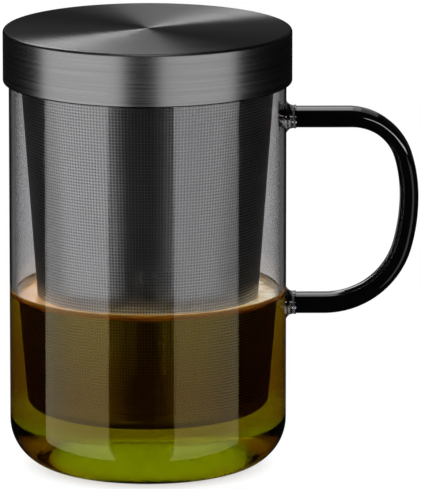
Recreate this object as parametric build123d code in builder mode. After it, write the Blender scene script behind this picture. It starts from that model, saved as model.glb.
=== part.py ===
from build123d import *

import os
from math import cos, radians, sin, tan

# Tall glass tea mug with a lift-out steel infuser and a lift-off steel cap.
# Millimetres, +Z up, origin at the middle of the flat base, handle towards +X.

# Glass body: a blown cylinder with a flat base and a fire-polished rim
glass_diameter = 85.0
glass_height = 130.0
glass_wall = 1.8
glass_floor = 2.5
base_corner_radius = 14.5
rim_radius = 0.8

# Handle: a glass rod drawn from the upper boss, round a bend, to the lower boss
upper_arm_drop = 21.5  # from the glass rim down to the upper arm's centre line
handle_span = 58.2  # between the two arms' centre lines
handle_reach = 37.7  # from the glass wall to the centre line at its widest
upper_bend_drop = 24.7  # from the upper arm down to the widest point
upper_arm_length = 19.5  # straight stretch, measured from the glass wall
lower_arm_length = 11.8
upper_bend_turn = 73.2  # degrees turned by the tight part of the upper bend
lower_bend_turn = 15.0  # degrees turned by the slack part of the lower bend
arm_diameter = 6.7
tight_bend_diameter = 5.75  # halfway round the tight part
thinnest_diameter = 5.55  # where the glass was drawn out most
grip_diameter = 5.8
slack_bend_diameter = 6.05
heel_diameter = 6.4

# Handle bosses: gathers of the same glass, flared where they melt into the wall
boss_length = 3.0
boss_flare_diameter = 11.6
boss_neck_diameter = 7.2
weld_depth = 0.3  # how far the gather melts into the wall

# Infuser: collar, sleeve and base cup in thin sheet, welded edge to edge
infuser_sheet = 0.5
basket_draft = 4.2  # degrees per side
basket_floor_gap = 14.9  # from the glass floor up to the basket
basket_corner_radius = 3.0
base_band_height = 4.6
collar_sheet = 0.6
collar_depth = 9.0  # from the glass rim down to the collar's ledge
collar_clearance = 0.5  # to the inside of the glass
collar_ledge = 1.3  # how far the ledge steps in to the sleeve
rolled_edge_radius = 0.7

# Lid: a drawn cap over a pressed-in liner, with a plug and a soft ring
lid_height = 16.4
lid_sheet = 0.8
lid_edge_radius = 0.8
skirt_clearance = 1.0  # to the outside of the glass
hem_height = 2.0
hem_thickness = 0.35
liner_clearance = 0.1  # to the inside of the cap
liner_disc = 1.6
liner_foot_height = 2.3
liner_foot_width = 2.4
plug_clearance = 1.2  # to the inside of the collar
plug_wall = 1.6
plug_end_gap = 1.4  # from the collar's ledge up to the plug's end
gasket_height = 2.4
gasket_rise = 2.0  # from the plug's end up to the ring
groove_depth = 0.8
lip_height = 0.8
gasket_clearance = 0.3  # to the inside of the collar

STAND = (Align.CENTER, Align.CENTER, Align.MIN)
os.makedirs("parts", exist_ok=True)


# --- Glass body -------------------------------------------------------------

glass_radius = glass_diameter / 2
glass_inner_radius = glass_radius - glass_wall

with BuildPart() as glass_body:
    with BuildSketch(Plane.XZ):
        with BuildLine():
            FilletPolyline(
                (0, 0),
                (glass_radius, 0),
                (glass_radius, glass_height),
                (glass_inner_radius, glass_height),
                (glass_inner_radius, glass_floor),
                (0, glass_floor),
                radius=[base_corner_radius, rim_radius, rim_radius, base_corner_radius - glass_wall],
            )
            Line((0, glass_floor), (0, 0))
        make_face()
    revolve(axis=Axis.Z)
glass_body.part.label = "glass_body"
export_step(glass_body.part, "parts/glass_body.step")


# --- Handle bosses ----------------------------------------------------------

upper_arm_z = glass_height - upper_arm_drop
lower_arm_z = upper_arm_z - handle_span
boss_end_x = glass_radius + boss_length


def handle_boss(arm_z, label):
    """A gather flared against the wall, turned about the arm's centre line and sunk into the wall."""
    neck = boss_neck_diameter / 2
    flare = boss_flare_diameter / 2
    root_x = glass_radius - weld_depth
    with BuildPart() as boss:
        with BuildSketch(Plane.XZ):
            with BuildLine():
                Line((boss_end_x, arm_z), (boss_end_x, arm_z + neck))
                TangentArc((boss_end_x, arm_z + neck), (root_x, arm_z + flare), tangent=(-1, 0))
                Line((root_x, arm_z + flare), (0, arm_z + flare))
                Line((0, arm_z + flare), (0, arm_z))
                Line((0, arm_z), (boss_end_x, arm_z))
            make_face()
        revolve(axis=Axis((0, 0, arm_z), (1, 0, 0)))
        Cylinder(root_x, glass_height, align=STAND, mode=Mode.SUBTRACT)
    boss.part.label = label
    export_step(boss.part, f"parts/{label}.step")
    return boss


upper_handle_boss = handle_boss(upper_arm_z, "upper_handle_boss")
lower_handle_boss = handle_boss(lower_arm_z, "lower_handle_boss")


# --- Handle -----------------------------------------------------------------

widest_x = glass_radius + handle_reach
widest_z = upper_arm_z - upper_bend_drop
upper_bend_start_x = glass_radius + upper_arm_length
lower_bend_end_x = glass_radius + lower_arm_length


def bend_radii(ahead, aside, first_turn):
    """Radii of two tangent arcs that turn a right angle, the first of them through first_turn degrees."""
    sine = sin(radians(first_turn))
    cosine = cos(radians(first_turn))
    share = sine + cosine - 1
    first = (ahead * cosine - aside * (1 - sine)) / share
    second = (aside * sine - ahead * (1 - cosine)) / share
    return first, second


tight_radius, grip_radius = bend_radii(
    widest_x - upper_bend_start_x,
    upper_bend_drop,
    upper_bend_turn,
)
slack_radius, heel_radius = bend_radii(
    widest_z - lower_arm_z,
    widest_x - lower_bend_end_x,
    lower_bend_turn,
)

with BuildPart() as handle:
    with BuildLine(Plane.XZ) as centre_line:
        upper_arm = Line((boss_end_x, upper_arm_z), (upper_bend_start_x, upper_arm_z))
        tight_bend = JernArc(upper_arm @ 1, upper_arm % 1, tight_radius, -upper_bend_turn)
        grip = JernArc(tight_bend @ 1, tight_bend % 1, grip_radius, upper_bend_turn - 90)
        slack_bend = JernArc(grip @ 1, grip % 1, slack_radius, -lower_bend_turn)
        heel = JernArc(slack_bend @ 1, slack_bend % 1, heel_radius, lower_bend_turn - 90)
        lower_arm = Line(heel @ 1, (boss_end_x, lower_arm_z))
    rod_sections = [
        (upper_arm ^ 0, arm_diameter),
        (upper_arm ^ (1 / 3), arm_diameter),
        (upper_arm ^ (2 / 3), arm_diameter),
        (upper_arm ^ 1, arm_diameter),
        (tight_bend ^ 0.5, tight_bend_diameter),
        (tight_bend ^ 1, thinnest_diameter),
        (grip ^ 1, grip_diameter),
        (slack_bend ^ 1, slack_bend_diameter),
        (heel ^ 0.5, heel_diameter),
        (lower_arm ^ 0, arm_diameter),
        (lower_arm ^ 0.5, arm_diameter),
        (lower_arm ^ 1, arm_diameter),
    ]
    for place, diameter in rod_sections:
        with BuildSketch(Plane(place)):
            Circle(diameter / 2)
    sweep(path=centre_line.wires()[0], multisection=True)
handle.part.label = "handle"
export_step(handle.part, "parts/handle.step")


# --- Infuser ----------------------------------------------------------------

collar_outer_radius = glass_inner_radius - collar_clearance
collar_inner_radius = collar_outer_radius - collar_sheet
ledge_z = glass_height - collar_depth
sleeve_top_radius = collar_outer_radius - collar_ledge
basket_z = glass_floor + basket_floor_gap
band_top_z = basket_z + base_band_height
rolled_edge_centre = glass_radius - rolled_edge_radius


def basket_radius(z):
    """Outer radius of the tapered basket at a height."""
    return sleeve_top_radius - (ledge_z - z) * tan(radians(basket_draft))


with BuildPart() as infuser_collar:
    with BuildSketch(Plane.XZ):
        with BuildLine():
            Polyline(
                (sleeve_top_radius - infuser_sheet, ledge_z),
                (collar_outer_radius, ledge_z),
                (collar_outer_radius, glass_height),
                (rolled_edge_centre, glass_height),
                (rolled_edge_centre, glass_height + collar_sheet),
                (collar_inner_radius, glass_height + collar_sheet),
                (collar_inner_radius, ledge_z + collar_sheet),
                (sleeve_top_radius - infuser_sheet, ledge_z + collar_sheet),
                close=True,
            )
        make_face()
        with Locations((rolled_edge_centre, glass_height + rolled_edge_radius)):
            Circle(rolled_edge_radius)
    revolve(axis=Axis.Z)
infuser_collar.part.label = "infuser_collar"
export_step(infuser_collar.part, "parts/infuser_collar.step")

with BuildPart() as infuser_sleeve:
    with Locations((0, 0, band_top_z)):
        Cone(basket_radius(band_top_z), sleeve_top_radius, ledge_z - band_top_z, align=STAND)
    open_ends = infuser_sleeve.faces().filter_by(Plane.XY)
    offset(amount=-infuser_sheet, openings=open_ends)
infuser_sleeve.part.label = "infuser_sleeve"
export_step(infuser_sleeve.part, "parts/infuser_sleeve.step")

with BuildPart() as infuser_base:
    with Locations((0, 0, basket_z)):
        Cone(basket_radius(basket_z), basket_radius(band_top_z), base_band_height, align=STAND)
    fillet(infuser_base.edges().group_by(Axis.Z)[0], basket_corner_radius)
    open_top = infuser_base.faces().sort_by(Axis.Z)[-1]
    offset(amount=-infuser_sheet, openings=open_top)
infuser_base.part.label = "infuser_base"
export_step(infuser_base.part, "parts/infuser_base.step")


# --- Lid --------------------------------------------------------------------

liner_foot_z = glass_height + 2 * rolled_edge_radius
liner_disc_z = liner_foot_z + liner_foot_height
cap_underside_z = liner_disc_z + liner_disc
lid_top_z = cap_underside_z + lid_sheet
skirt_end_z = lid_top_z - lid_height
cap_inner_radius = glass_radius + skirt_clearance
cap_outer_radius = cap_inner_radius + lid_sheet

with BuildPart() as lid_shell:
    with Locations((0, 0, skirt_end_z)):
        Cylinder(cap_outer_radius, lid_height, align=STAND)
    fillet(lid_shell.edges().group_by(Axis.Z)[-1], lid_edge_radius)
    with Locations((0, 0, skirt_end_z)):
        Cylinder(cap_inner_radius - hem_thickness, hem_height, align=STAND, mode=Mode.SUBTRACT)
    with Locations((0, 0, skirt_end_z + hem_height)):
        Cylinder(cap_inner_radius, lid_height - lid_sheet - hem_height, align=STAND, mode=Mode.SUBTRACT)
    fillet(lid_shell.edges().group_by(Axis.Z)[0], (lid_sheet + hem_thickness) * 0.4)
lid_shell.part.label = "lid_shell"
export_step(lid_shell.part, "parts/lid_shell.step")

liner_radius = cap_inner_radius - liner_clearance
plug_radius = collar_inner_radius - plug_clearance
plug_end_z = ledge_z + collar_sheet + plug_end_gap
gasket_z = plug_end_z + gasket_rise
groove_radius = plug_radius - groove_depth

with BuildPart() as lid_liner:
    with BuildSketch(Plane.XZ):
        with BuildLine():
            Polyline(
                (0, cap_underside_z),
                (liner_radius, cap_underside_z),
                (liner_radius, liner_foot_z),
                (liner_radius - liner_foot_width, liner_foot_z),
                (liner_radius - liner_foot_width, liner_disc_z),
                (plug_radius, liner_disc_z),
                (plug_radius, gasket_z + gasket_height),
                (groove_radius, gasket_z + gasket_height),
                (groove_radius, gasket_z),
                (plug_radius, gasket_z),
                (plug_radius, plug_end_z),
                (plug_radius - plug_wall, plug_end_z),
                (plug_radius - plug_wall, liner_disc_z),
                (0, liner_disc_z),
                close=True,
            )
        make_face()
    revolve(axis=Axis.Z)
lid_liner.part.label = "lid_liner"
export_step(lid_liner.part, "parts/lid_liner.step")

lip_radius = collar_inner_radius - gasket_clearance
lip_z = gasket_z + (gasket_height - lip_height) / 2

with BuildPart() as lid_gasket:
    with BuildSketch(Plane.XZ):
        with BuildLine():
            Polyline(
                (groove_radius, gasket_z),
                (plug_radius, gasket_z),
                (lip_radius, lip_z),
                (lip_radius, lip_z + lip_height),
                (plug_radius, gasket_z + gasket_height),
                (groove_radius, gasket_z + gasket_height),
                close=True,
            )
        make_face()
    revolve(axis=Axis.Z)
lid_gasket.part.label = "lid_gasket"
export_step(lid_gasket.part, "parts/lid_gasket.step")
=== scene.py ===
from math import cos, pi, radians, sin, tan

import bmesh
import bpy
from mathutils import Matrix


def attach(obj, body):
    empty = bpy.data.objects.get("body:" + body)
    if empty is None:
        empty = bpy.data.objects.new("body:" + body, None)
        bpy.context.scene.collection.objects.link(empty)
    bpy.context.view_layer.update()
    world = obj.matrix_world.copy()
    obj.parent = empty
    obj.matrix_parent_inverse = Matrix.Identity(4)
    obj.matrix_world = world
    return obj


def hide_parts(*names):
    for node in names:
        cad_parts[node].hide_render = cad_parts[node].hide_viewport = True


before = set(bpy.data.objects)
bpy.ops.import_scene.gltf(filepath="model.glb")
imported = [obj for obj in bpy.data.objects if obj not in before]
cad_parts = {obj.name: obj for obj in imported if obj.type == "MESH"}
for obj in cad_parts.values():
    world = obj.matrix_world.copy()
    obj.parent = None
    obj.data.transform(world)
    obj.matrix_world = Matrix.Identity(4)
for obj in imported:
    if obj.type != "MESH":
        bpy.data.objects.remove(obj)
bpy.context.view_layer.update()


# --- Camera -----------------------------------------------------------------
# A long lens a little over the height of the rim, looking down on the lid
# by about twelve degrees, with the handle to the right.

bpy.ops.object.camera_add(location=(0, -2.4075, 0.5750), rotation=(radians(78.119), 0, radians(-0.458)))
camera = bpy.context.object
camera.data.lens = 589.5
camera.data.sensor_width = 36
camera.data.clip_end = 50
bpy.context.scene.camera = camera
bpy.context.scene.view_settings.view_transform = "Standard"


# --- Studio -----------------------------------------------------------------
# A white table before a white backdrop, in a dark room. Two tall softboxes
# stand in front of the mug, a long one hangs over it and a small one leans in
# from behind on the left. The handle and the lid bring lamps of their own.


def area_light(name, place, turn, width, height, radiance):
    """A rectangular softbox of a plain radiance, which the camera doesn't see."""
    bpy.ops.object.light_add(type="AREA", location=place, rotation=turn)
    light = bpy.context.object
    light.name = name
    light.data.shape = "RECTANGLE"
    light.data.size = width
    light.data.size_y = height
    light.data.energy = radiance * pi * width * height
    light.visible_camera = False
    return light


def standing_light(name, turn, stand_off, start, end, lowest, highest, radiance):
    """An upright softbox in a plane turned from the camera's side, from start to end along that plane."""
    way = radians(turn)
    along = (start + end) / 2
    x = stand_off * sin(way) + along * cos(way)
    y = along * sin(way) - stand_off * cos(way)
    place = (x, y, (lowest + highest) / 2)
    return area_light(name, place, (pi / 2, 0, way), end - start, highest - lowest, radiance)


tall_softboxes = [
    standing_light("softbox_left", -25, 0.8, -2.13, -0.10, -0.86, 0.90, 2.0),
    standing_light("softbox_right", 10, 0.8, 0.158, 2.30, -0.90, 0.90, 1.5),
]
softbox_overhead = area_light("softbox_overhead", (0, -0.475, 1.4), (0, 0, 0), 0.6, 2.25, 2.2)
area_light("softbox_back", (-0.47, 0.88, 0.97), (radians(50), 0, radians(208)), 0.84, 0.35, 5.4)


def node(tree, kind, **settings):
    """Adds a shader node and sets its own properties."""
    made = tree.nodes.new(kind)
    for key, value in settings.items():
        setattr(made, key, value)
    return made


def feed(tree, socket, source):
    """Gives an input a number, a colour or another node's output."""
    if isinstance(source, bpy.types.NodeSocket):
        tree.links.new(source, socket)
    else:
        socket.default_value = source


def calc(tree, operation, *values, clamp=False):
    """A Math node of numbers and other nodes' outputs."""
    made = node(tree, "ShaderNodeMath", operation=operation, use_clamp=clamp)
    for socket, value in zip(made.inputs, values):
        feed(tree, socket, value)
    return made.outputs[0]


def ease(tree, value, start, end):
    """0 before start and 1 after end, and straight between them; start may be the larger."""
    share = calc(tree, "SUBTRACT", value, start)
    return calc(tree, "DIVIDE", share, end - start, clamp=True)


def blend(tree, share, first, second):
    """A mix of two colours, with share of the second."""
    made = node(tree, "ShaderNodeMix", data_type="RGBA")
    for socket, source in zip((made.inputs[0], made.inputs[6], made.inputs[7]), (share, first, second)):
        feed(tree, socket, source)
    return made.outputs[2]


def seen_straight(tree, path):
    """1 for a ray from the camera, or one that has only gone through glass, and 0 for a reflected one."""
    unreflected = calc(tree, "LESS_THAN", path.outputs["Glossy Depth"], 0.5)
    undiffused = calc(tree, "LESS_THAN", path.outputs["Diffuse Depth"], 0.5)
    through = calc(tree, "MULTIPLY", path.outputs["Is Transmission Ray"], unreflected)
    through = calc(tree, "MULTIPLY", through, undiffused)
    return calc(tree, "MAXIMUM", path.outputs["Is Camera Ray"], through)


ROOM_GREY = 0.005  # what metal and glass show of the dark room
TEA_GLOW = 0.15  # what the tea shows of it, for the light that it scatters
BACKDROP_GREY = 0.05  # what metal shows of the backdrop, over the table's horizon
BACKDROP_LEVEL = 3.0  # what glass shows of the backdrop
FOOT_LEVEL = 0.2  # what glass shows of its foot, on both sides of the middle
ROOM_FILL = 0.35  # what lights a matt surface from all round
GLASS_FILL = 8.0  # the same for one inside the glass
AMBER = (1.0, 0.38, 0.15, 1)  # the tea's glow, and the cards beside the middle of the backdrop
CARDS_MIDDLE = -2  # the turn that the gap between those cards is centred on, in degrees
TEA_FACES = 6  # what a ray goes through on its way across the glass and the tea
EDGE_SOFTNESS = 8  # degrees over which a window of the room fades

world = bpy.data.worlds.new("studio")
bpy.context.scene.world = world
world.use_nodes = True
tree = world.node_tree
tree.nodes.clear()
path = node(tree, "ShaderNodeLightPath")
direction = node(tree, "ShaderNodeTexCoord")
split = node(tree, "ShaderNodeSeparateXYZ")
feed(tree, split.inputs[0], direction.outputs["Generated"])
turn = calc(tree, "DEGREES", calc(tree, "ARCTAN2", split.outputs["X"], split.outputs["Y"]))
height = calc(tree, "DEGREES", calc(tree, "ARCSINE", split.outputs["Z"]))
off_middle = calc(tree, "ABSOLUTE", turn)


def window(half_width, lowest, highest):
    """The room within a turn from straight behind the mug and between two heights, in degrees."""
    inside = ease(tree, off_middle, half_width, half_width - EDGE_SOFTNESS)
    over = ease(tree, height, lowest, lowest + EDGE_SOFTNESS)
    under = ease(tree, height, highest, highest - EDGE_SOFTNESS)
    return calc(tree, "MULTIPLY", inside, calc(tree, "MULTIPLY", over, under))


straight = seen_straight(tree, path)
turned_away = calc(tree, "SUBTRACT", 1.0, straight)
in_glass = path.outputs["Is Transmission Ray"]
in_tea = calc(tree, "GREATER_THAN", path.outputs["Transmission Depth"], TEA_FACES - 0.5)
in_tea = calc(tree, "MULTIPLY", in_tea, in_glass)

backdrop = calc(tree, "MULTIPLY", window(80, -3, 45), BACKDROP_LEVEL)
foot = calc(tree, "MULTIPLY", window(38, -20, -4), ease(tree, off_middle, 12, 20))
foot = calc(tree, "MULTIPLY", foot, FOOT_LEVEL)
behind = calc(tree, "MULTIPLY", calc(tree, "MAXIMUM", backdrop, foot), in_glass)
mirrored = calc(tree, "MULTIPLY", window(100, 0, 70), BACKDROP_GREY)
glow = calc(tree, "MULTIPLY", in_tea, TEA_GLOW)
room = calc(tree, "MAXIMUM", behind, mirrored)
room = calc(tree, "MAXIMUM", room, calc(tree, "MAXIMUM", glow, ROOM_GREY))
# what is seen straight is plain white, whatever the windows say
room = calc(tree, "ADD", calc(tree, "MULTIPLY", room, turned_away), straight)

fill = calc(tree, "MULTIPLY", path.outputs["Is Diffuse Ray"], ROOM_FILL)
lit_inside = calc(tree, "GREATER_THAN", path.outputs["Diffuse Depth"], 0.5)
lit_inside = calc(tree, "MULTIPLY", lit_inside, in_glass)
fill = calc(tree, "MAXIMUM", fill, calc(tree, "MULTIPLY", lit_inside, GLASS_FILL))

off_gap = calc(tree, "ABSOLUTE", calc(tree, "SUBTRACT", turn, CARDS_MIDDLE))
off_backdrop = calc(tree, "LESS_THAN", backdrop, 0.4)
tinted = calc(tree, "MAXIMUM", ease(tree, off_gap, 16, 22), off_backdrop)
tinted = calc(tree, "MULTIPLY", calc(tree, "MULTIPLY", tinted, in_tea), turned_away)

background = node(tree, "ShaderNodeBackground")
feed(tree, background.inputs["Color"], blend(tree, tinted, (1, 1, 1, 1), AMBER))
feed(tree, background.inputs["Strength"], calc(tree, "MAXIMUM", room, fill))
output = node(tree, "ShaderNodeOutputWorld")
feed(tree, output.inputs["Surface"], background.outputs[0])

TABLE_RADIUS = 4.0
TABLE_DROP = 0.0002  # the table's top is a hair under the mug, so that the two faces don't meet

bpy.ops.object.select_all(action="DESELECT")
bpy.ops.mesh.primitive_circle_add(
    vertices=96, radius=TABLE_RADIUS, fill_type="NGON", location=(0, 0, -TABLE_DROP)
)
table = bpy.context.object
table.name = "table"
bpy.ops.object.transform_apply(location=True, rotation=False, scale=False)
table.visible_glossy = False
table.visible_shadow = False


def mixed(tree, share, first, second):
    """A blend of two shaders, with share of the second."""
    made = node(tree, "ShaderNodeMixShader")
    for socket, source in zip(made.inputs, (share, first, second)):
        feed(tree, socket, source)
    return made.outputs[0]


# Near the mug the table is part matt, which takes the mug's real shadow; that matt is toned darker and
# warm, a painted shade
SHADOW_SHARE = 0.5
SHADOW_START = 0.028  # from the mug's axis, where the real and painted shadow is whole
SHADOW_END = 0.039
PAINTED_WARM_SHADE = (0.80, 0.68, 0.46, 1)  # painted warm shade, for the shadow and the light that comes through the tea

table_white = bpy.data.materials.new("table_white")
table_white.use_nodes = True
tree = table_white.node_tree
tree.nodes.clear()
path = node(tree, "ShaderNodeLightPath")
place = node(tree, "ShaderNodeTexCoord")
length = node(tree, "ShaderNodeVectorMath", operation="LENGTH")
feed(tree, length.inputs[0], place.outputs["Object"])
near = ease(tree, length.outputs["Value"], SHADOW_END, SHADOW_START)
glow = node(tree, "ShaderNodeEmission")
matt = node(tree, "ShaderNodeBsdfDiffuse")
matt.inputs["Color"].default_value = PAINTED_WARM_SHADE
clear = node(tree, "ShaderNodeBsdfTransparent")
shaded = mixed(tree, calc(tree, "MULTIPLY", near, SHADOW_SHARE), glow.outputs[0], matt.outputs[0])
bounced = mixed(tree, path.outputs["Is Diffuse Ray"], clear.outputs[0], matt.outputs[0])
output = node(tree, "ShaderNodeOutputMaterial")
feed(tree, output.inputs["Surface"], mixed(tree, seen_straight(tree, path), bounced, shaded))
table.data.materials.append(table_white)


# --- Glass body -------------------------------------------------------------
# A blown borosilicate cylinder, tinted smoke grey, with a flat base, a
# large rounded corner and a fire-polished rim. Below the tea's line its
# reflections get a painted warm tint, and its slanting edges a painted amber.

GLASS_RADIUS = 0.0425
GLASS_HEIGHT = 0.130
GLASS_WALL = 0.0018
GLASS_FLOOR = 0.0025
BASE_CORNER = 0.0145
RIM_ROUNDING = 0.0008
GLASS_INSIDE = GLASS_RADIUS - GLASS_WALL
TEA_LINE = 0.0553  # where the tea's meniscus ends on the wall


def take(kind, test):
    """Selects the faces or edges that pass a test, in edit mode."""
    bpy.ops.mesh.select_mode(type={"faces": "FACE", "edges": "EDGE"}[kind])
    bpy.ops.mesh.select_all(action="DESELECT")
    shape = bmesh.from_edit_mesh(bpy.context.object.data)
    for element in getattr(shape, kind):
        if test(element):
            element.select_set(True)
    shape.select_flush_mode()
    bmesh.update_edit_mesh(bpy.context.object.data)


def turned(name, rings, sides, closed=False):
    """Turns a piece on the mug's axis, by a ring of edges that is extruded from each radius and height."""
    bpy.ops.object.select_all(action="DESELECT")
    radius, height = rings[0]
    bpy.ops.mesh.primitive_circle_add(vertices=sides, radius=radius, location=(0, 0, height))
    piece = bpy.context.object
    piece.name = piece.data.name = name
    bpy.ops.object.transform_apply(location=True, rotation=False, scale=False)
    bpy.ops.object.mode_set(mode="EDIT")
    if not closed:
        bpy.ops.mesh.edge_face_add()
        take("edges", lambda edge: True)
    for next_radius, next_height in rings[1:] + (rings[:1] if closed else []):
        bpy.ops.mesh.extrude_edges_move(TRANSFORM_OT_translate={"value": (0, 0, next_height - height)})
        grow = next_radius / radius
        bpy.ops.transform.resize(value=(grow, grow, 1), center_override=(0, 0, next_height))
        radius, height = next_radius, next_height
    if not closed:
        bpy.ops.mesh.edge_face_add()
    bpy.ops.mesh.select_all(action="SELECT")
    bpy.ops.mesh.remove_doubles(threshold=0.000001)
    bpy.ops.mesh.normals_make_consistent(inside=False)
    return piece


def round_ring(radius, height, by, segments):
    """Rounds the ring of edges at a radius and a height."""

    def on_ring(edge):
        return all(
            abs(end.co.z - height) < 1e-5 and abs(end.co.xy.length - radius) < 1e-5 for end in edge.verts
        )

    take("edges", on_ring)
    bpy.ops.mesh.bevel(offset=by, segments=segments, profile=0.5, affect="EDGES", clamp_overlap=False)


def finish_mesh(piece, body, slot, *nodes):
    """Smooths a piece, hands it to its body and hides the CAD parts that it replaces; slot is not used."""
    bpy.ops.object.mode_set(mode="OBJECT")
    bpy.ops.object.select_all(action="DESELECT")
    piece.select_set(True)
    bpy.context.view_layer.objects.active = piece
    bpy.ops.object.shade_smooth_by_angle(angle=radians(40))
    bpy.ops.object.modifier_add(type="WEIGHTED_NORMAL")
    piece.modifiers[-1].keep_sharp = True
    bpy.ops.object.modifier_apply(modifier=piece.modifiers[-1].name)
    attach(piece, body)
    if nodes:
        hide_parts(*nodes)


def principled(name, **sockets):
    """A finish on one Principled shader; every constant is set on its own socket."""
    made = bpy.data.materials.new(name)
    made.use_nodes = True
    shader = made.node_tree.nodes["Principled BSDF"]
    for key, value in sockets.items():
        shader.inputs[key.replace("_", " ")].default_value = value
    return made, made.node_tree, shader


def paint(piece, finish, test):
    """Gives a finish to the faces of a piece that pass a test."""
    piece.data.materials.append(finish)
    for face in piece.data.polygons:
        if test(face):
            face.material_index = len(piece.data.materials) - 1


def noise(tree, size, detail=2.0):
    """Noise in the piece's own coordinates, with blots of about a size in metres."""
    place = node(tree, "ShaderNodeTexCoord")
    made = node(tree, "ShaderNodeTexNoise")
    feed(tree, made.inputs["Vector"], place.outputs["Object"])
    feed(tree, made.inputs["Scale"], 1 / size)
    feed(tree, made.inputs["Detail"], detail)
    return made.outputs["Fac"]


def raise_by(tree, shader, height, depth):
    """Raises a surface by a height of 0 to 1 times a depth in metres."""
    bump = node(tree, "ShaderNodeBump")
    feed(tree, bump.inputs["Height"], height)
    feed(tree, bump.inputs["Distance"], depth)
    feed(tree, shader.inputs["Normal"], bump.outputs[0])


glass_body = turned(
    "mug_glass",
    [
        (GLASS_RADIUS, 0),
        (GLASS_RADIUS, TEA_LINE),
        (GLASS_RADIUS, GLASS_HEIGHT),
        (GLASS_INSIDE, GLASS_HEIGHT),
        (GLASS_INSIDE, GLASS_FLOOR),
    ],
    256,
)
round_ring(GLASS_RADIUS, 0, BASE_CORNER, 24)
round_ring(GLASS_INSIDE, GLASS_FLOOR, BASE_CORNER - GLASS_WALL, 24)
round_ring(GLASS_RADIUS, GLASS_HEIGHT, RIM_ROUNDING, 5)
round_ring(GLASS_INSIDE, GLASS_HEIGHT, RIM_ROUNDING, 5)
finish_mesh(glass_body, "mug", "smoke_glass", "glass_body")

SMOKE = (0.625, 0.625, 0.635, 1)
THIN_SMOKE = (0.655, 0.655, 0.665, 1)
PAINTED_SLANT_AMBER = (0.58, 0.38, 0.12, 1)  # painted darker amber on the wall where it is seen at a slant, for the tea's colour there


def smoke_glass(name, **sockets):
    """Blown glass, faintly uneven in its tint and its surface; the tint is handed back to be fed in."""
    made, tree, shader = principled(name, Roughness=0.0, IOR=1.47, Transmission_Weight=1.0, **sockets)
    tint = blend(tree, noise(tree, 0.05), SMOKE, THIN_SMOKE)
    raise_by(tree, shader, noise(tree, 0.03), 0.00002)
    return made, tree, shader, tint


def wet_glass(name, mirrored):
    """The same glass with tea behind it; its reflections get a painted tint, and where it is seen at a
    slant a painted darker amber.
    """
    made, tree, shader, tint = smoke_glass(name, Specular_Tint=mirrored)
    slant = node(tree, "ShaderNodeLayerWeight")
    # painted darker amber where the wall is seen at a slant
    painted_slant_share = ease(tree, slant.outputs["Facing"], 0.40, 0.70)
    feed(tree, shader.inputs["Base Color"], blend(tree, painted_slant_share, tint, PAINTED_SLANT_AMBER))
    return made


def over_tea(face):
    """True for the outside of the wall and base, below the tea's line."""
    outwards = face.normal.x * face.center.x + face.normal.y * face.center.y > 1e-4
    return face.center.z < TEA_LINE and (outwards or face.normal.z < -0.5)


def under_tea(face):
    """True for the base and its rounded corner."""
    return over_tea(face) and face.center.z < BASE_CORNER


dry_glass, tree, shader, tint = smoke_glass("smoke_glass")
feed(tree, shader.inputs["Base Color"], tint)
glass_body.data.materials.append(dry_glass)
# Below the tea the reflections get a painted warm tint, and under it a painted yellow one
paint(glass_body, wet_glass("smoke_glass_over_tea", (0.75, 0.62, 0.22, 1)), over_tea)
paint(glass_body, wet_glass("smoke_glass_under_tea", (1.0, 1.0, 0.38, 1)), under_tea)


# --- Tea --------------------------------------------------------------------
# The mug is a little under half full. The tea wets the wall, so its surface
# creeps up it in a narrow meniscus, and it stands inside the infuser too.

TEA_HEIGHT = 0.0535
TEA_IN_WALL = 0.0004
MENISCUS_WIDTH = 0.0022
TEA_RADIUS = GLASS_INSIDE + TEA_IN_WALL
TEA_FLOOR = GLASS_FLOOR - TEA_IN_WALL
TEA_CORNER = BASE_CORNER - GLASS_WALL + TEA_IN_WALL


def meniscus_height(radius):
    """Height of the tea's surface at a distance from the axis."""
    share = max(0, 1 - (TEA_RADIUS - radius) / MENISCUS_WIDTH)
    return TEA_HEIGHT + (TEA_LINE - TEA_HEIGHT) * share**2.4


meniscus = [TEA_RADIUS - MENISCUS_WIDTH * share for share in (0, 0.12, 0.25, 0.4, 0.55, 0.7, 0.85, 1)]
surface = [(radius, meniscus_height(radius)) for radius in meniscus]
tea = turned("tea", [(TEA_RADIUS, TEA_FLOOR)] + surface, 192)
round_ring(TEA_RADIUS, TEA_FLOOR, TEA_CORNER, 20)
finish_mesh(tea, "mug", "smoke_glass")

# Brown, paler towards the top, and a painted clear green under the basket, for the light that comes up
# through the base
STEEPED = (0.30, 0.14, 0.02, 1)
PALER_BROWN = (0.42, 0.30, 0.08, 1)
PAINTED_UNDERLIGHT = (0.435, 0.465, 0.19, 1)
TEA_COLOUR = (0.97, 0.98, 0.35, 1)
TEA_STRENGTH = 160
PALE_FROM = 0.030  # the height from which the brown pales upwards
UNDERLIGHT_FROM = 0.0175  # from here down the painted light from below fades in, and it is whole below the next
UNDERLIGHT_BELOW = 0.0135


def own_place(tree):
    """X, Y and Z of a point in its piece's own coordinates."""
    split = node(tree, "ShaderNodeSeparateXYZ")
    feed(tree, split.inputs[0], node(tree, "ShaderNodeTexCoord").outputs["Object"])
    return split.outputs


tea_finish, tree, shader = principled("steeped_tea", Roughness=0.0, IOR=1.17, Transmission_Weight=1.0)
depth = own_place(tree)["Z"]
upper = ease(tree, depth, PALE_FROM, TEA_HEIGHT)
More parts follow.
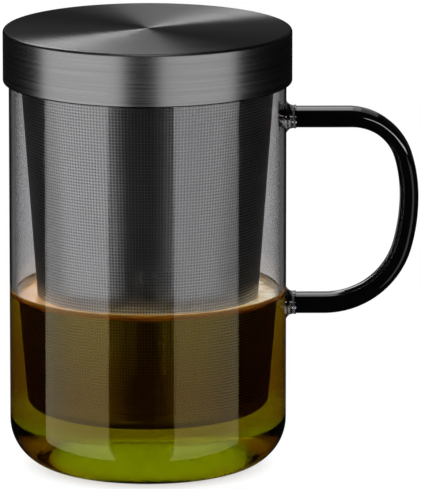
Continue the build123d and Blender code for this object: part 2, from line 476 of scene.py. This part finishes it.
# painted light from below, under the basket
painted_underlight_share = ease(tree, depth, UNDERLIGHT_FROM, UNDERLIGHT_BELOW)
steeped = blend(tree, upper, STEEPED, PALER_BROWN)
feed(tree, shader.inputs["Base Color"], blend(tree, painted_underlight_share, steeped, PAINTED_UNDERLIGHT))
tint = node(tree, "ShaderNodeVolumeAbsorption")
tint.inputs["Color"].default_value = TEA_COLOUR
tint.inputs["Density"].default_value = TEA_STRENGTH
feed(tree, tree.nodes["Material Output"].inputs["Volume"], tint.outputs[0])
tea.data.materials.append(tea_finish)


# --- Tea froth --------------------------------------------------------------
# A thin film of froth on the tea, from the infuser to the wall, where it
# climbs the meniscus. It is cream to orange, and darker brown along the glass.
# Its cream and the warm tint of its reflections are partly a painted
# highlight, for the glints of the tea's surface.

FROTH_START = 0.0332
FROTH_HALF = 0.00025  # half its thickness

film = [FROTH_START, 0.0350, 0.0370] + meniscus[::-1]
froth = turned(
    "tea_froth",
    [(radius, meniscus_height(radius) + FROTH_HALF) for radius in film]
    + [(radius, meniscus_height(radius) - FROTH_HALF) for radius in film[::-1]],
    192,
    closed=True,
)
finish_mesh(froth, "mug", "smoke_glass")

# the cream is partly a painted highlight, for the glints of the tea's surface
CREAM_AND_GLINT = (0.84, 0.76, 0.48, 1)
TAN = (0.62, 0.38, 0.10, 1)
ORANGE = (0.78, 0.36, 0.07, 1)
GLASS_SIDE_BROWN = (0.20, 0.11, 0.03, 1)


def distance(tree, first, second):
    """Length of a way, from its two parts at right angles."""
    squares = [calc(tree, "MULTIPLY", way, way) for way in (first, second)]
    return calc(tree, "SQRT", calc(tree, "ADD", *squares))


# its reflections get a painted warm tint
froth_finish, tree, shader = principled("froth", Roughness=0.16, IOR=1.9, Specular_Tint=(1.0, 0.75, 0.4, 1))
place = own_place(tree)
blots = ease(tree, noise(tree, 0.006, 3.0), 0.40, 0.62)
foam = blend(tree, blots, CREAM_AND_GLINT, TAN)
# it is more orange on the side away from the handle
orange_side = calc(tree, "MULTIPLY", ease(tree, place["X"], -0.008, -0.034), 0.85)
foam = blend(tree, orange_side, foam, ORANGE)
off_axis = distance(tree, place["X"], place["Y"])
# darker brown along the glass
glass_side = ease(tree, off_axis, GLASS_INSIDE - 0.0022, GLASS_INSIDE - 0.0004)
feed(tree, shader.inputs["Base Color"], blend(tree, glass_side, foam, GLASS_SIDE_BROWN))
raise_by(tree, shader, noise(tree, 0.0015), 0.00008)
froth.data.materials.append(froth_finish)


# --- Handle bosses ----------------------------------------------------------
# Two gathers of black glass, flared and melted into the wall, where the glass
# thins out and lets light through. Each ends in the bead of the rod's weld.

UPPER_ARM_HEIGHT = GLASS_HEIGHT - 0.0215
LOWER_ARM_HEIGHT = UPPER_ARM_HEIGHT - 0.0582
BOSS_LENGTH = 0.0030
BOSS_ROOT = 0.0007
BOSS_RINGS = [
    # radius, distance from the outside of the wall
    (0.0051, -BOSS_ROOT),
    (0.0049, 0.00005),
    (0.0043, 0.00045),
    (0.0038, 0.0011),
    (0.0036, 0.0018),
    (0.00355, 0.0022),
    (0.0037, 0.0026),
    (0.0036, BOSS_LENGTH),
]

BLACK = (0.02, 0.02, 0.024, 1)
SMOKY_BLACK = (0.05, 0.05, 0.056, 1)
THIN_BLACK = (0.40, 0.40, 0.42, 1)  # in the skirt of the flare, where light comes through

boss_glass, tree, shader = principled("boss_glass", Roughness=0.0, IOR=1.47, Transmission_Weight=1.0)
thin = ease(tree, own_place(tree)["X"], GLASS_RADIUS + 0.0010, GLASS_RADIUS + 0.0007)
black = blend(tree, noise(tree, 0.004), BLACK, SMOKY_BLACK)
feed(tree, shader.inputs["Base Color"], blend(tree, thin, black, THIN_BLACK))
raise_by(tree, shader, noise(tree, 0.002), 0.00003)

bosses = []
for name, arm_height, boss_node in (
    ("upper_boss", UPPER_ARM_HEIGHT, "upper_handle_boss"),
    ("lower_boss", LOWER_ARM_HEIGHT, "lower_handle_boss"),
):
    boss = turned(name, BOSS_RINGS, 48)
    bpy.ops.object.mode_set(mode="OBJECT")
    boss.rotation_euler = (0, pi / 2, 0)
    boss.location = (GLASS_RADIUS, 0, arm_height)
    bpy.ops.object.transform_apply(location=True, rotation=True, scale=False)
    # its root takes the round of the wall
    bpy.ops.mesh.primitive_cylinder_add(
        vertices=256,
        radius=GLASS_RADIUS - 0.0001,
        depth=0.03,
        location=(0, 0, arm_height),
    )
    wall = bpy.context.object
    boss.modifiers.new("saddle", "BOOLEAN").object = wall
    bpy.context.view_layer.objects.active = boss
    bpy.ops.object.modifier_apply(modifier="saddle")
    bpy.data.objects.remove(wall)
    bpy.ops.object.mode_set(mode="EDIT")
    finish_mesh(boss, "mug", "black_glass", boss_node)
    boss.data.materials.clear()
    boss.data.materials.append(boss_glass)
    bosses.append(boss)


# --- Handle -----------------------------------------------------------------
# A rod of black glass, drawn out thinner where it was bent while soft, and
# welded to the bosses. It bends tightly at the top and slowly at the bottom.

ROD_SIDES = 40
ROD_START = GLASS_RADIUS + BOSS_LENGTH - 0.0003
UPPER_BEND_START = GLASS_RADIUS + 0.0195
LOWER_BEND_END = GLASS_RADIUS + 0.0118
WIDEST = GLASS_RADIUS + 0.0377
WIDEST_HEIGHT = UPPER_ARM_HEIGHT - 0.0247
TIGHT_TURN = 73.2
SLACK_TURN = 15.0
# the rod's diameter at even steps round each bend
ROD_DIAMETERS = {
    "tight": [0.0067, 0.00628, 0.00575, 0.00556, 0.00555],
    "grip": [0.00555, 0.00563, 0.00573, 0.0058],
    "slack": [0.0058, 0.0059, 0.006, 0.00605],
    "heel": [0.00605, 0.0062, 0.0064, 0.0066, 0.0067],
}


def bend_radii(ahead, aside, first_turn):
    """Radii of two tangent arcs that turn a right angle, the first of them through first_turn degrees."""
    sine = sin(radians(first_turn))
    cosine = cos(radians(first_turn))
    share = sine + cosine - 1
    first = (ahead * cosine - aside * (1 - sine)) / share
    second = (aside * sine - ahead * (1 - cosine)) / share
    return first, second


tight_radius, grip_radius = bend_radii(
    WIDEST - UPPER_BEND_START, UPPER_ARM_HEIGHT - WIDEST_HEIGHT, TIGHT_TURN
)
slack_radius, heel_radius = bend_radii(
    WIDEST_HEIGHT - LOWER_ARM_HEIGHT, WIDEST - LOWER_BEND_END, SLACK_TURN
)


def between(values, share):
    """A value read from evenly spaced ones, by straight steps."""
    place = share * (len(values) - 1)
    low = min(int(place), len(values) - 2)
    return values[low] + (values[low + 1] - values[low]) * (place - low)


bpy.ops.object.select_all(action="DESELECT")
bpy.ops.mesh.primitive_circle_add(
    vertices=ROD_SIDES,
    radius=ROD_DIAMETERS["tight"][0] / 2,
    location=(ROD_START, 0, UPPER_ARM_HEIGHT),
    rotation=(0, pi / 2, 0),
)
rod = bpy.context.object
rod.name = rod.data.name = "handle_rod"
bpy.ops.object.transform_apply(location=True, rotation=True, scale=False)
bpy.ops.object.mode_set(mode="EDIT")
bpy.ops.mesh.edge_face_add()
bpy.ops.mesh.extrude_region_move(TRANSFORM_OT_translate={"value": (UPPER_BEND_START - ROD_START, 0, 0)})

heading = 0.0
end_x, end_z = UPPER_BEND_START, UPPER_ARM_HEIGHT
diameter = ROD_DIAMETERS["tight"][0]
for bend, radius, turn, steps in (
    ("tight", tight_radius, TIGHT_TURN, 24),
    ("grip", grip_radius, 90 - TIGHT_TURN, 10),
    ("slack", slack_radius, SLACK_TURN, 10),
    ("heel", heel_radius, 90 - SLACK_TURN, 24),
):
    centre_x = end_x - radius * sin(heading)
    centre_z = end_z - radius * cos(heading)
    for step in range(steps):
        heading += radians(turn) / steps
        bpy.ops.mesh.spin(
            steps=1,
            angle=-radians(turn) / steps,
            center=(centre_x, 0, centre_z),
            axis=(0, 1, 0),
        )
        end_x = centre_x + radius * sin(heading)
        end_z = centre_z + radius * cos(heading)
        next_diameter = between(ROD_DIAMETERS[bend], (step + 1) / steps)
        grow = next_diameter / diameter
        bpy.ops.transform.resize(value=(grow, grow, grow), center_override=(end_x, 0, end_z))
        diameter = next_diameter
bpy.ops.mesh.extrude_region_move(TRANSFORM_OT_translate={"value": (ROD_START - end_x, 0, 0)})
bpy.ops.mesh.select_all(action="SELECT")
bpy.ops.mesh.normals_make_consistent(inside=False)
finish_mesh(rod, "mug", "black_glass", "handle")

JET = (0.0008, 0.0009, 0.0012, 1)
SOFT_JET = (0.0025, 0.0028, 0.0035, 1)

black_glass, tree, shader = principled("black_glass", Roughness=0.03, IOR=1.52)
feed(tree, shader.inputs["Base Color"], blend(tree, noise(tree, 0.010), JET, SOFT_JET))
raise_by(tree, shader, noise(tree, 0.008), 0.00002)
rod.data.materials.append(black_glass)


def link_lamps(lamps, name, pieces, state):
    """Lets lamps light only some pieces (INCLUDE), or all but them (EXCLUDE)."""
    linked = bpy.data.collections.new(name)
    for piece in pieces:
        linked.objects.link(piece)
    for item in linked.collection_objects:
        item.light_linking.link_state = state
    for lamp in lamps:
        lamp.light_linking.receiver_collection = linked


# The handle is drawn by its own lamps, and the one over the mug leaves it out
handle_glass = [rod] + bosses
link_lamps([softbox_overhead], "all_but_handle", handle_glass, "EXCLUDE")
handle_lamps = [
    area_light("handle_top", (-0.09, 0.415, 1.4), (0, 0, 0), 0.58, 1.33, 2.0),
    area_light("handle_top_mid", (0.03, 0.415, 1.395), (0, 0, 0), 0.80, 1.33, 1.6),
    area_light("handle_top_wide", (0.35, 0.9, 1.39), (0, 0, 0), 1.3, 2.6, 0.9),
    standing_light("handle_back", 180, 1.2, -0.6, 0.6, 0.1, 1.0, 0.5),
    standing_light("handle_front", 36, 1.0, -0.40, 0.45, 0.17, 0.29, 8.0),
    standing_light("handle_right", 54, 1.0, -0.21, 0.21, -0.9, 0.1, 0.8),
    standing_light("handle_left", -117, 1.0, -0.42, 0.42, -0.2, 1.1, 1.1),
]
link_lamps(handle_lamps, "handle_glass", handle_glass, "INCLUDE")
boss_lamp = area_light("boss_glint", (0.30, -0.68, -0.60), (radians(133), 0, radians(21)), 0.3, 0.3, 20.0)
link_lamps([boss_lamp], "boss_glass", bosses, "INCLUDE")


# --- Infuser collar ---------------------------------------------------------
# A drawn steel ring that hangs on the rim of the glass by a rolled edge, and
# steps in at its foot to a narrow ledge that carries the basket.

COLLAR_SHEET = 0.0006
COLLAR_OUTSIDE = GLASS_INSIDE - 0.0005
COLLAR_INSIDE = COLLAR_OUTSIDE - COLLAR_SHEET
COLLAR_TOP = GLASS_HEIGHT + COLLAR_SHEET
COLLAR_ROUNDING = 0.0004
LEDGE_HEIGHT = GLASS_HEIGHT - 0.009
ROLL_RADIUS = 0.0007
ROLL_CENTRE = GLASS_RADIUS - ROLL_RADIUS
ROLL_HEIGHT = GLASS_HEIGHT + ROLL_RADIUS
BASKET_SHEET = 0.0005
SLEEVE_TOP_RADIUS = COLLAR_OUTSIDE - 0.0013
SLEEVE_TOP_INSIDE = SLEEVE_TOP_RADIUS - BASKET_SHEET

# the rolled edge, from its foot on the rim, out and over to its top
roll = [
    (ROLL_CENTRE + ROLL_RADIUS * sin(radians(angle)), ROLL_HEIGHT - ROLL_RADIUS * cos(radians(angle)))
    for angle in range(0, 196, 15)
]
collar = turned(
    "basket_collar",
    [
        (SLEEVE_TOP_INSIDE, LEDGE_HEIGHT),
        (COLLAR_OUTSIDE, LEDGE_HEIGHT),
        (COLLAR_OUTSIDE, GLASS_HEIGHT),
    ]
    + roll
    + [
        (COLLAR_INSIDE, COLLAR_TOP),
        (COLLAR_INSIDE, LEDGE_HEIGHT + COLLAR_SHEET),
        (SLEEVE_TOP_INSIDE, LEDGE_HEIGHT + COLLAR_SHEET),
    ],
    160,
    closed=True,
)
round_ring(COLLAR_OUTSIDE, LEDGE_HEIGHT, COLLAR_ROUNDING, 3)
round_ring(COLLAR_INSIDE, COLLAR_TOP, COLLAR_ROUNDING, 3)
finish_mesh(collar, "infuser", "infuser_steel", "infuser_collar")


def spun_lines(tree, pitch, run):
    """The lines that spin-brushing leaves, at a pitch across them; each lasts for a run round the turn."""
    place = own_place(tree)
    radius = distance(tree, place["X"], place["Y"])
    across = node(tree, "ShaderNodeCombineXYZ")
    feed(tree, across.inputs["X"], calc(tree, "DIVIDE", radius, pitch))
    feed(tree, across.inputs["Y"], calc(tree, "DIVIDE", place["Z"], pitch))
    feed(tree, across.inputs["Z"], calc(tree, "DIVIDE", place["X"], run))
    lines = node(tree, "ShaderNodeTexNoise", noise_dimensions="4D")
    feed(tree, lines.inputs["Vector"], across.outputs[0])
    feed(tree, lines.inputs["W"], calc(tree, "DIVIDE", place["Y"], run))
    feed(tree, lines.inputs["Scale"], 1.0)
    feed(tree, lines.inputs["Detail"], 3.0)
    feed(tree, lines.inputs["Roughness"], 0.6)
    return ease(tree, lines.outputs["Fac"], 0.25, 0.75)


def grey(level):
    """A grey of a level."""
    return (level, level, level, 1)


def steel(name, greys, roughness, pitch, run=0.05, **sockets):
    """Coated steel whose spun lines run between two greys and two roughnesses, and stand a little proud."""
    made, tree, shader = principled(name, Metallic=1.0, **sockets)
    lines = spun_lines(tree, pitch, run)
    dark, light = greys
    feed(tree, shader.inputs["Base Color"], blend(tree, lines, grey(dark), grey(light)))
    smoothest, roughest = roughness
    gloss = calc(tree, "MULTIPLY_ADD", lines, roughest - smoothest, smoothest)
    feed(tree, shader.inputs["Roughness"], gloss)
    raise_by(tree, shader, lines, 0.000004)
    return made, tree, shader


infuser_steel, tree, shader = steel("infuser_steel", (0.25, 0.31), (0.35, 0.42), pitch=0.0004, run=0.03)
collar.data.materials.append(infuser_steel)


# --- Infuser sleeve ---------------------------------------------------------
# Micro-perforated sheet, rolled into a cone, lapped and welded down the back.
# The square holes stand in straight rows and columns.

COLUMNS = 240
ROW_PITCH = 0.00094
HOLE = 0.00038
BAR = ROW_PITCH - HOLE
# radius of the painted shade round each hole
HOLE_SHADE_RADIUS = 0.00034
BASKET_FOOT = GLASS_FLOOR + 0.0149
BAND_TOP = BASKET_FOOT + 0.0046
SLEEVE_HEIGHT = LEDGE_HEIGHT - BAND_TOP
DRAFT = tan(radians(4.2))
BAND_TOP_RADIUS = SLEEVE_TOP_RADIUS - SLEEVE_HEIGHT * DRAFT
BAND_TOP_INSIDE = BAND_TOP_RADIUS - BASKET_SHEET
SEAM_WIDTH = 0.0026
PLAIN_TOP = 0.001  # the strip under the collar that has no holes
ROWS = int((SLEEVE_HEIGHT - PLAIN_TOP) / ROW_PITCH)


def upright_bar(thickness, width, turn):
    """A bar of the sleeve's height at its wall, before the cone is given its taper."""
    bpy.ops.mesh.primitive_cube_add(
        size=1,
        location=(BAND_TOP_RADIUS - BASKET_SHEET / 2, 0, SLEEVE_HEIGHT / 2),
        scale=(thickness, width, SLEEVE_HEIGHT),
    )
    bar = bpy.context.object
    bpy.ops.object.transform_apply(location=True, rotation=False, scale=True)
    bar.rotation_euler = (0, 0, turn)
    bpy.ops.object.transform_apply(location=False, rotation=True, scale=False)
    return bar


# The bars are a little thinner than the rows, so that no two faces lie on each other
bpy.ops.object.select_all(action="DESELECT")
seam = upright_bar(BASKET_SHEET * 0.98, SEAM_WIDTH, pi / 2)
sleeve = upright_bar(BASKET_SHEET * 0.9, BAR * BAND_TOP_RADIUS / SLEEVE_TOP_RADIUS, 0)
sleeve.name = sleeve.data.name = "basket_sleeve"
bpy.ops.object.mode_set(mode="EDIT")
bpy.ops.mesh.select_all(action="SELECT")
bpy.ops.mesh.spin(
    steps=COLUMNS - 1,
    dupli=True,
    angle=2 * pi * (COLUMNS - 1) / COLUMNS,
    center=(0, 0, 0),
    axis=(0, 0, 1),
)
bpy.ops.object.mode_set(mode="OBJECT")

rows = turned(
    "sleeve_rows",
    [
        (BAND_TOP_RADIUS, 0),
        (BAND_TOP_RADIUS, BAR),
        (BAND_TOP_INSIDE, BAR),
        (BAND_TOP_INSIDE, 0),
    ],
    96,
    closed=True,
)
bpy.ops.object.mode_set(mode="OBJECT")
bpy.ops.object.modifier_add(type="ARRAY")
rows.modifiers[-1].count = ROWS
rows.modifiers[-1].use_relative_offset = False
rows.modifiers[-1].use_constant_offset = True
rows.modifiers[-1].constant_offset_displace = (0, 0, ROW_PITCH)
bpy.ops.object.modifier_apply(modifier=rows.modifiers[-1].name)

seam.select_set(True)
sleeve.select_set(True)
bpy.context.view_layer.objects.active = sleeve
bpy.ops.object.join()
bpy.ops.object.modifier_add(type="SIMPLE_DEFORM")
sleeve.modifiers[-1].deform_method = "TAPER"
sleeve.modifiers[-1].deform_axis = "Z"
sleeve.modifiers[-1].factor = (SLEEVE_TOP_RADIUS - BAND_TOP_RADIUS) / BAND_TOP_RADIUS
bpy.ops.object.modifier_apply(modifier=sleeve.modifiers[-1].name)
sleeve.location = (0, 0, BAND_TOP)
bpy.ops.object.transform_apply(location=True, rotation=False, scale=False)
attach(sleeve, "infuser")
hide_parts("infuser_sleeve")

# Painted shade: a darker ring round each hole, for the shade in and round the holes
sleeve_steel, tree, shader = steel("sleeve_steel", (0.35, 0.42), (0.31, 0.38), pitch=0.0004, run=0.03)
plain_steel = shader.inputs["Base Color"].links[0].from_socket
place = own_place(tree)
column = calc(tree, "ARCTAN2", place["Y"], place["X"])
column = calc(tree, "FRACT", calc(tree, "MULTIPLY", column, COLUMNS / (2 * pi)))
sideways = calc(tree, "MULTIPLY", calc(tree, "SUBTRACT", column, 0.5), ROW_PITCH)
row = calc(tree, "SUBTRACT", place["Z"], BAND_TOP + BAR + HOLE / 2 - ROW_PITCH / 2)
row = calc(tree, "FRACT", calc(tree, "DIVIDE", row, ROW_PITCH))
upwards = calc(tree, "MULTIPLY", calc(tree, "SUBTRACT", row, 0.5), ROW_PITCH)
painted_hole_shade = ease(tree, distance(tree, sideways, upwards), HOLE_SHADE_RADIUS * 1.3, HOLE_SHADE_RADIUS * 0.7)
feed(tree, shader.inputs["Base Color"], blend(tree, painted_hole_shade, plain_steel, grey(0.09)))
sleeve.data.materials.append(sleeve_steel)


# --- Infuser base -----------------------------------------------------------
# A shallow drawn cup with a plain side band, welded under the sleeve. Rings
# of small round holes in its floor let the basket drain.

FOOT_RADIUS = BAND_TOP_RADIUS - (BAND_TOP - BASKET_FOOT) * DRAFT
FOOT_INSIDE = FOOT_RADIUS - BASKET_SHEET
CUP_FLOOR = BASKET_FOOT + BASKET_SHEET
CUP_CORNER = 0.003
DRAIN_HOLE = 0.0011
DRAIN_PITCH = 0.0026
DRAIN_RINGS = 10

cup = turned(
    "basket_cup",
    [
        (FOOT_RADIUS, BASKET_FOOT),
        (BAND_TOP_RADIUS, BAND_TOP),
        (BAND_TOP_INSIDE, BAND_TOP),
        (FOOT_INSIDE, CUP_FLOOR),
    ],
    160,
)
round_ring(FOOT_RADIUS, BASKET_FOOT, CUP_CORNER, 6)
round_ring(FOOT_INSIDE, CUP_FLOOR, CUP_CORNER - BASKET_SHEET, 6)
bpy.ops.object.mode_set(mode="OBJECT")

# One hole in the middle, and six more in each ring than in the last
bpy.ops.object.select_all(action="DESELECT")
punches = []
for ring in range(DRAIN_RINGS + 1):
    holes = max(1, 6 * ring)
    for hole in range(holes):
        way = 2 * pi * hole / holes
        bpy.ops.mesh.primitive_cylinder_add(
            vertices=10,
            radius=DRAIN_HOLE / 2,
            depth=0.004,
            location=(ring * DRAIN_PITCH * cos(way), ring * DRAIN_PITCH * sin(way), BASKET_FOOT),
        )
        punches.append(bpy.context.object)
for punch in punches:
    punch.select_set(True)
bpy.ops.object.join()
punch = bpy.context.object
cup.modifiers.new("drain", "BOOLEAN").object = punch
bpy.context.view_layer.objects.active = cup
bpy.ops.object.modifier_apply(modifier="drain")
bpy.data.objects.remove(punch)
bpy.ops.object.mode_set(mode="EDIT")
finish_mesh(cup, "infuser", "infuser_steel", "infuser_base")
cup.data.materials.clear()
cup.data.materials.append(infuser_steel)


# --- Lid shell --------------------------------------------------------------
# A deep-drawn steel cap with a tight edge and a hemmed skirt, coated gunmetal
# and spun-brushed round its axis, on the top and on the skirt.

LID_SHEET = 0.0008
CAP_INSIDE = GLASS_RADIUS + 0.0010
LID_RADIUS = CAP_INSIDE + LID_SHEET
LID_TOP = 0.1361
SKIRT_END = LID_TOP - 0.0164
HEM_TOP = SKIRT_END + 0.0020
HEM_INSIDE = CAP_INSIDE - 0.00035
TOP_ROUNDING = 0.0011
SKIRT_ROUNDING = 0.0006
HEM_ROUNDING = 0.00045

cap = turned(
    "lid_cap",
    [
        (LID_RADIUS, LID_TOP),
        (LID_RADIUS, SKIRT_END),
        (HEM_INSIDE, SKIRT_END),
        (HEM_INSIDE, HEM_TOP),
        (CAP_INSIDE, HEM_TOP),
        (CAP_INSIDE, LID_TOP - LID_SHEET),
    ],
    256,
)
round_ring(LID_RADIUS, LID_TOP, TOP_ROUNDING, 6)
round_ring(LID_RADIUS, SKIRT_END, SKIRT_ROUNDING, 4)
round_ring(HEM_INSIDE, SKIRT_END, HEM_ROUNDING, 3)
finish_mesh(cap, "lid", "lid_steel", "lid_shell")


def on_skirt(face):
    """True for the outside of the cap, under its top."""
    return face.center.z < LID_TOP - 0.0004 and face.center.xy.length > CAP_INSIDE


def on_edge(face):
    """True for the rounded edges at both ends of the skirt."""
    return 0.2 < abs(face.normal.z) < 0.95 and face.center.xy.length > CAP_INSIDE


lid_steel, tree, shader = steel(
    "lid_steel", (0.16, 0.23), (0.28, 0.38), pitch=0.0006, Anisotropic=0.95, Anisotropic_Rotation=0.25
)
around = node(tree, "ShaderNodeTangent", direction_type="RADIAL", axis="Z")
feed(tree, shader.inputs["Tangent"], around.outputs[0])
cap.data.materials.append(lid_steel)

skirt_steel, tree, shader = steel("skirt_steel", (0.14, 0.20), (0.23, 0.31), pitch=0.0006)
paint(cap, skirt_steel, on_skirt)

# Painted shade: both rounded edges are darker, for the dark lines that they show
painted_shade_edge_steel, tree, shader = steel("painted_shade_edge_steel", (0.035, 0.055), (0.22, 0.30), pitch=0.0003)
paint(cap, painted_shade_edge_steel, on_edge)

# The cap has its own pair of tall lamps, which reach nearer to the middle
link_lamps(tall_softboxes, "all_but_handle_and_lid", handle_glass + [cap], "EXCLUDE")
lid_lamps = [
    standing_light("lid_left", -25, 0.8, -1.885, 0.090, -0.86, 0.90, 1.9),
    standing_light("lid_right", 10, 0.8, -0.020, 1.64, -0.90, 0.90, 1.6),
]
link_lamps(lid_lamps, "lid_steel", [cap], "INCLUDE")


# --- Lid liner --------------------------------------------------------------
# A moulded black plastic disc pressed into the cap. It stands on the rolled
# edge of the collar, and its plug reaches down into it.

LINER_RADIUS = CAP_INSIDE - 0.0001
LINER_FOOT = ROLL_HEIGHT + ROLL_RADIUS
LINER_DISC = LINER_FOOT + 0.0023
FOOT_WIDTH = 0.0024
PLUG_RADIUS = COLLAR_INSIDE - 0.0012
PLUG_INSIDE = PLUG_RADIUS - 0.0016
PLUG_END = LEDGE_HEIGHT + COLLAR_SHEET + 0.0014
PLUG_ROUNDING = 0.0003
GROOVE_RADIUS = PLUG_RADIUS - 0.0008
RING_LOW = PLUG_END + 0.0020
RING_HIGH = RING_LOW + 0.0024

liner = turned(
    "lid_plug",
    [
        (LINER_RADIUS, LID_TOP - LID_SHEET),
        (LINER_RADIUS, LINER_FOOT),
        (LINER_RADIUS - FOOT_WIDTH, LINER_FOOT),
        (LINER_RADIUS - FOOT_WIDTH, LINER_DISC),
        (PLUG_RADIUS, LINER_DISC),
        (PLUG_RADIUS, RING_HIGH),
        (GROOVE_RADIUS, RING_HIGH),
        (GROOVE_RADIUS, RING_LOW),
        (PLUG_RADIUS, RING_LOW),
        (PLUG_RADIUS, PLUG_END),
        (PLUG_INSIDE, PLUG_END),
        (PLUG_INSIDE, LINER_DISC),
    ],
    128,
)
round_ring(PLUG_RADIUS, PLUG_END, PLUG_ROUNDING, 2)
round_ring(PLUG_INSIDE, PLUG_END, PLUG_ROUNDING, 2)
finish_mesh(liner, "lid", "liner_plastic", "lid_liner")

liner_plastic, tree, shader = principled("liner_plastic")
spark = noise(tree, 0.0004, 3.0)
feed(tree, shader.inputs["Base Color"], blend(tree, spark, grey(0.032), grey(0.048)))
feed(tree, shader.inputs["Roughness"], calc(tree, "MULTIPLY_ADD", spark, 0.2, 0.45))
raise_by(tree, shader, spark, 0.00002)
liner.data.materials.append(liner_plastic)


# --- Lid gasket -------------------------------------------------------------
# A moulded silicone ring, stretched into the plug's groove. Its soft lip steadies
# the lid in the collar, and is drawn relaxed, a little clear of it.

LIP_RADIUS = COLLAR_INSIDE - 0.0003
LIP_LOW = RING_LOW + 0.0008
LIP_HIGH = LIP_LOW + 0.0008

gasket = turned(
    "lid_ring",
    [
        (GROOVE_RADIUS, RING_LOW),
        (PLUG_RADIUS, RING_LOW),
        (LIP_RADIUS, LIP_LOW),
        (LIP_RADIUS, LIP_HIGH),
        (PLUG_RADIUS, RING_HIGH),
        (GROOVE_RADIUS, RING_HIGH),
    ],
    128,
    closed=True,
)
finish_mesh(gasket, "lid", "gasket_silicone", "lid_gasket")

gasket_silicone, tree, shader = principled("gasket_silicone", Roughness=0.6)
bloom = noise(tree, 0.003, 3.0)
feed(tree, shader.inputs["Base Color"], blend(tree, bloom, grey(0.07), grey(0.09)))
raise_by(tree, shader, noise(tree, 0.0003), 0.00001)
gasket.data.materials.append(gasket_silicone)
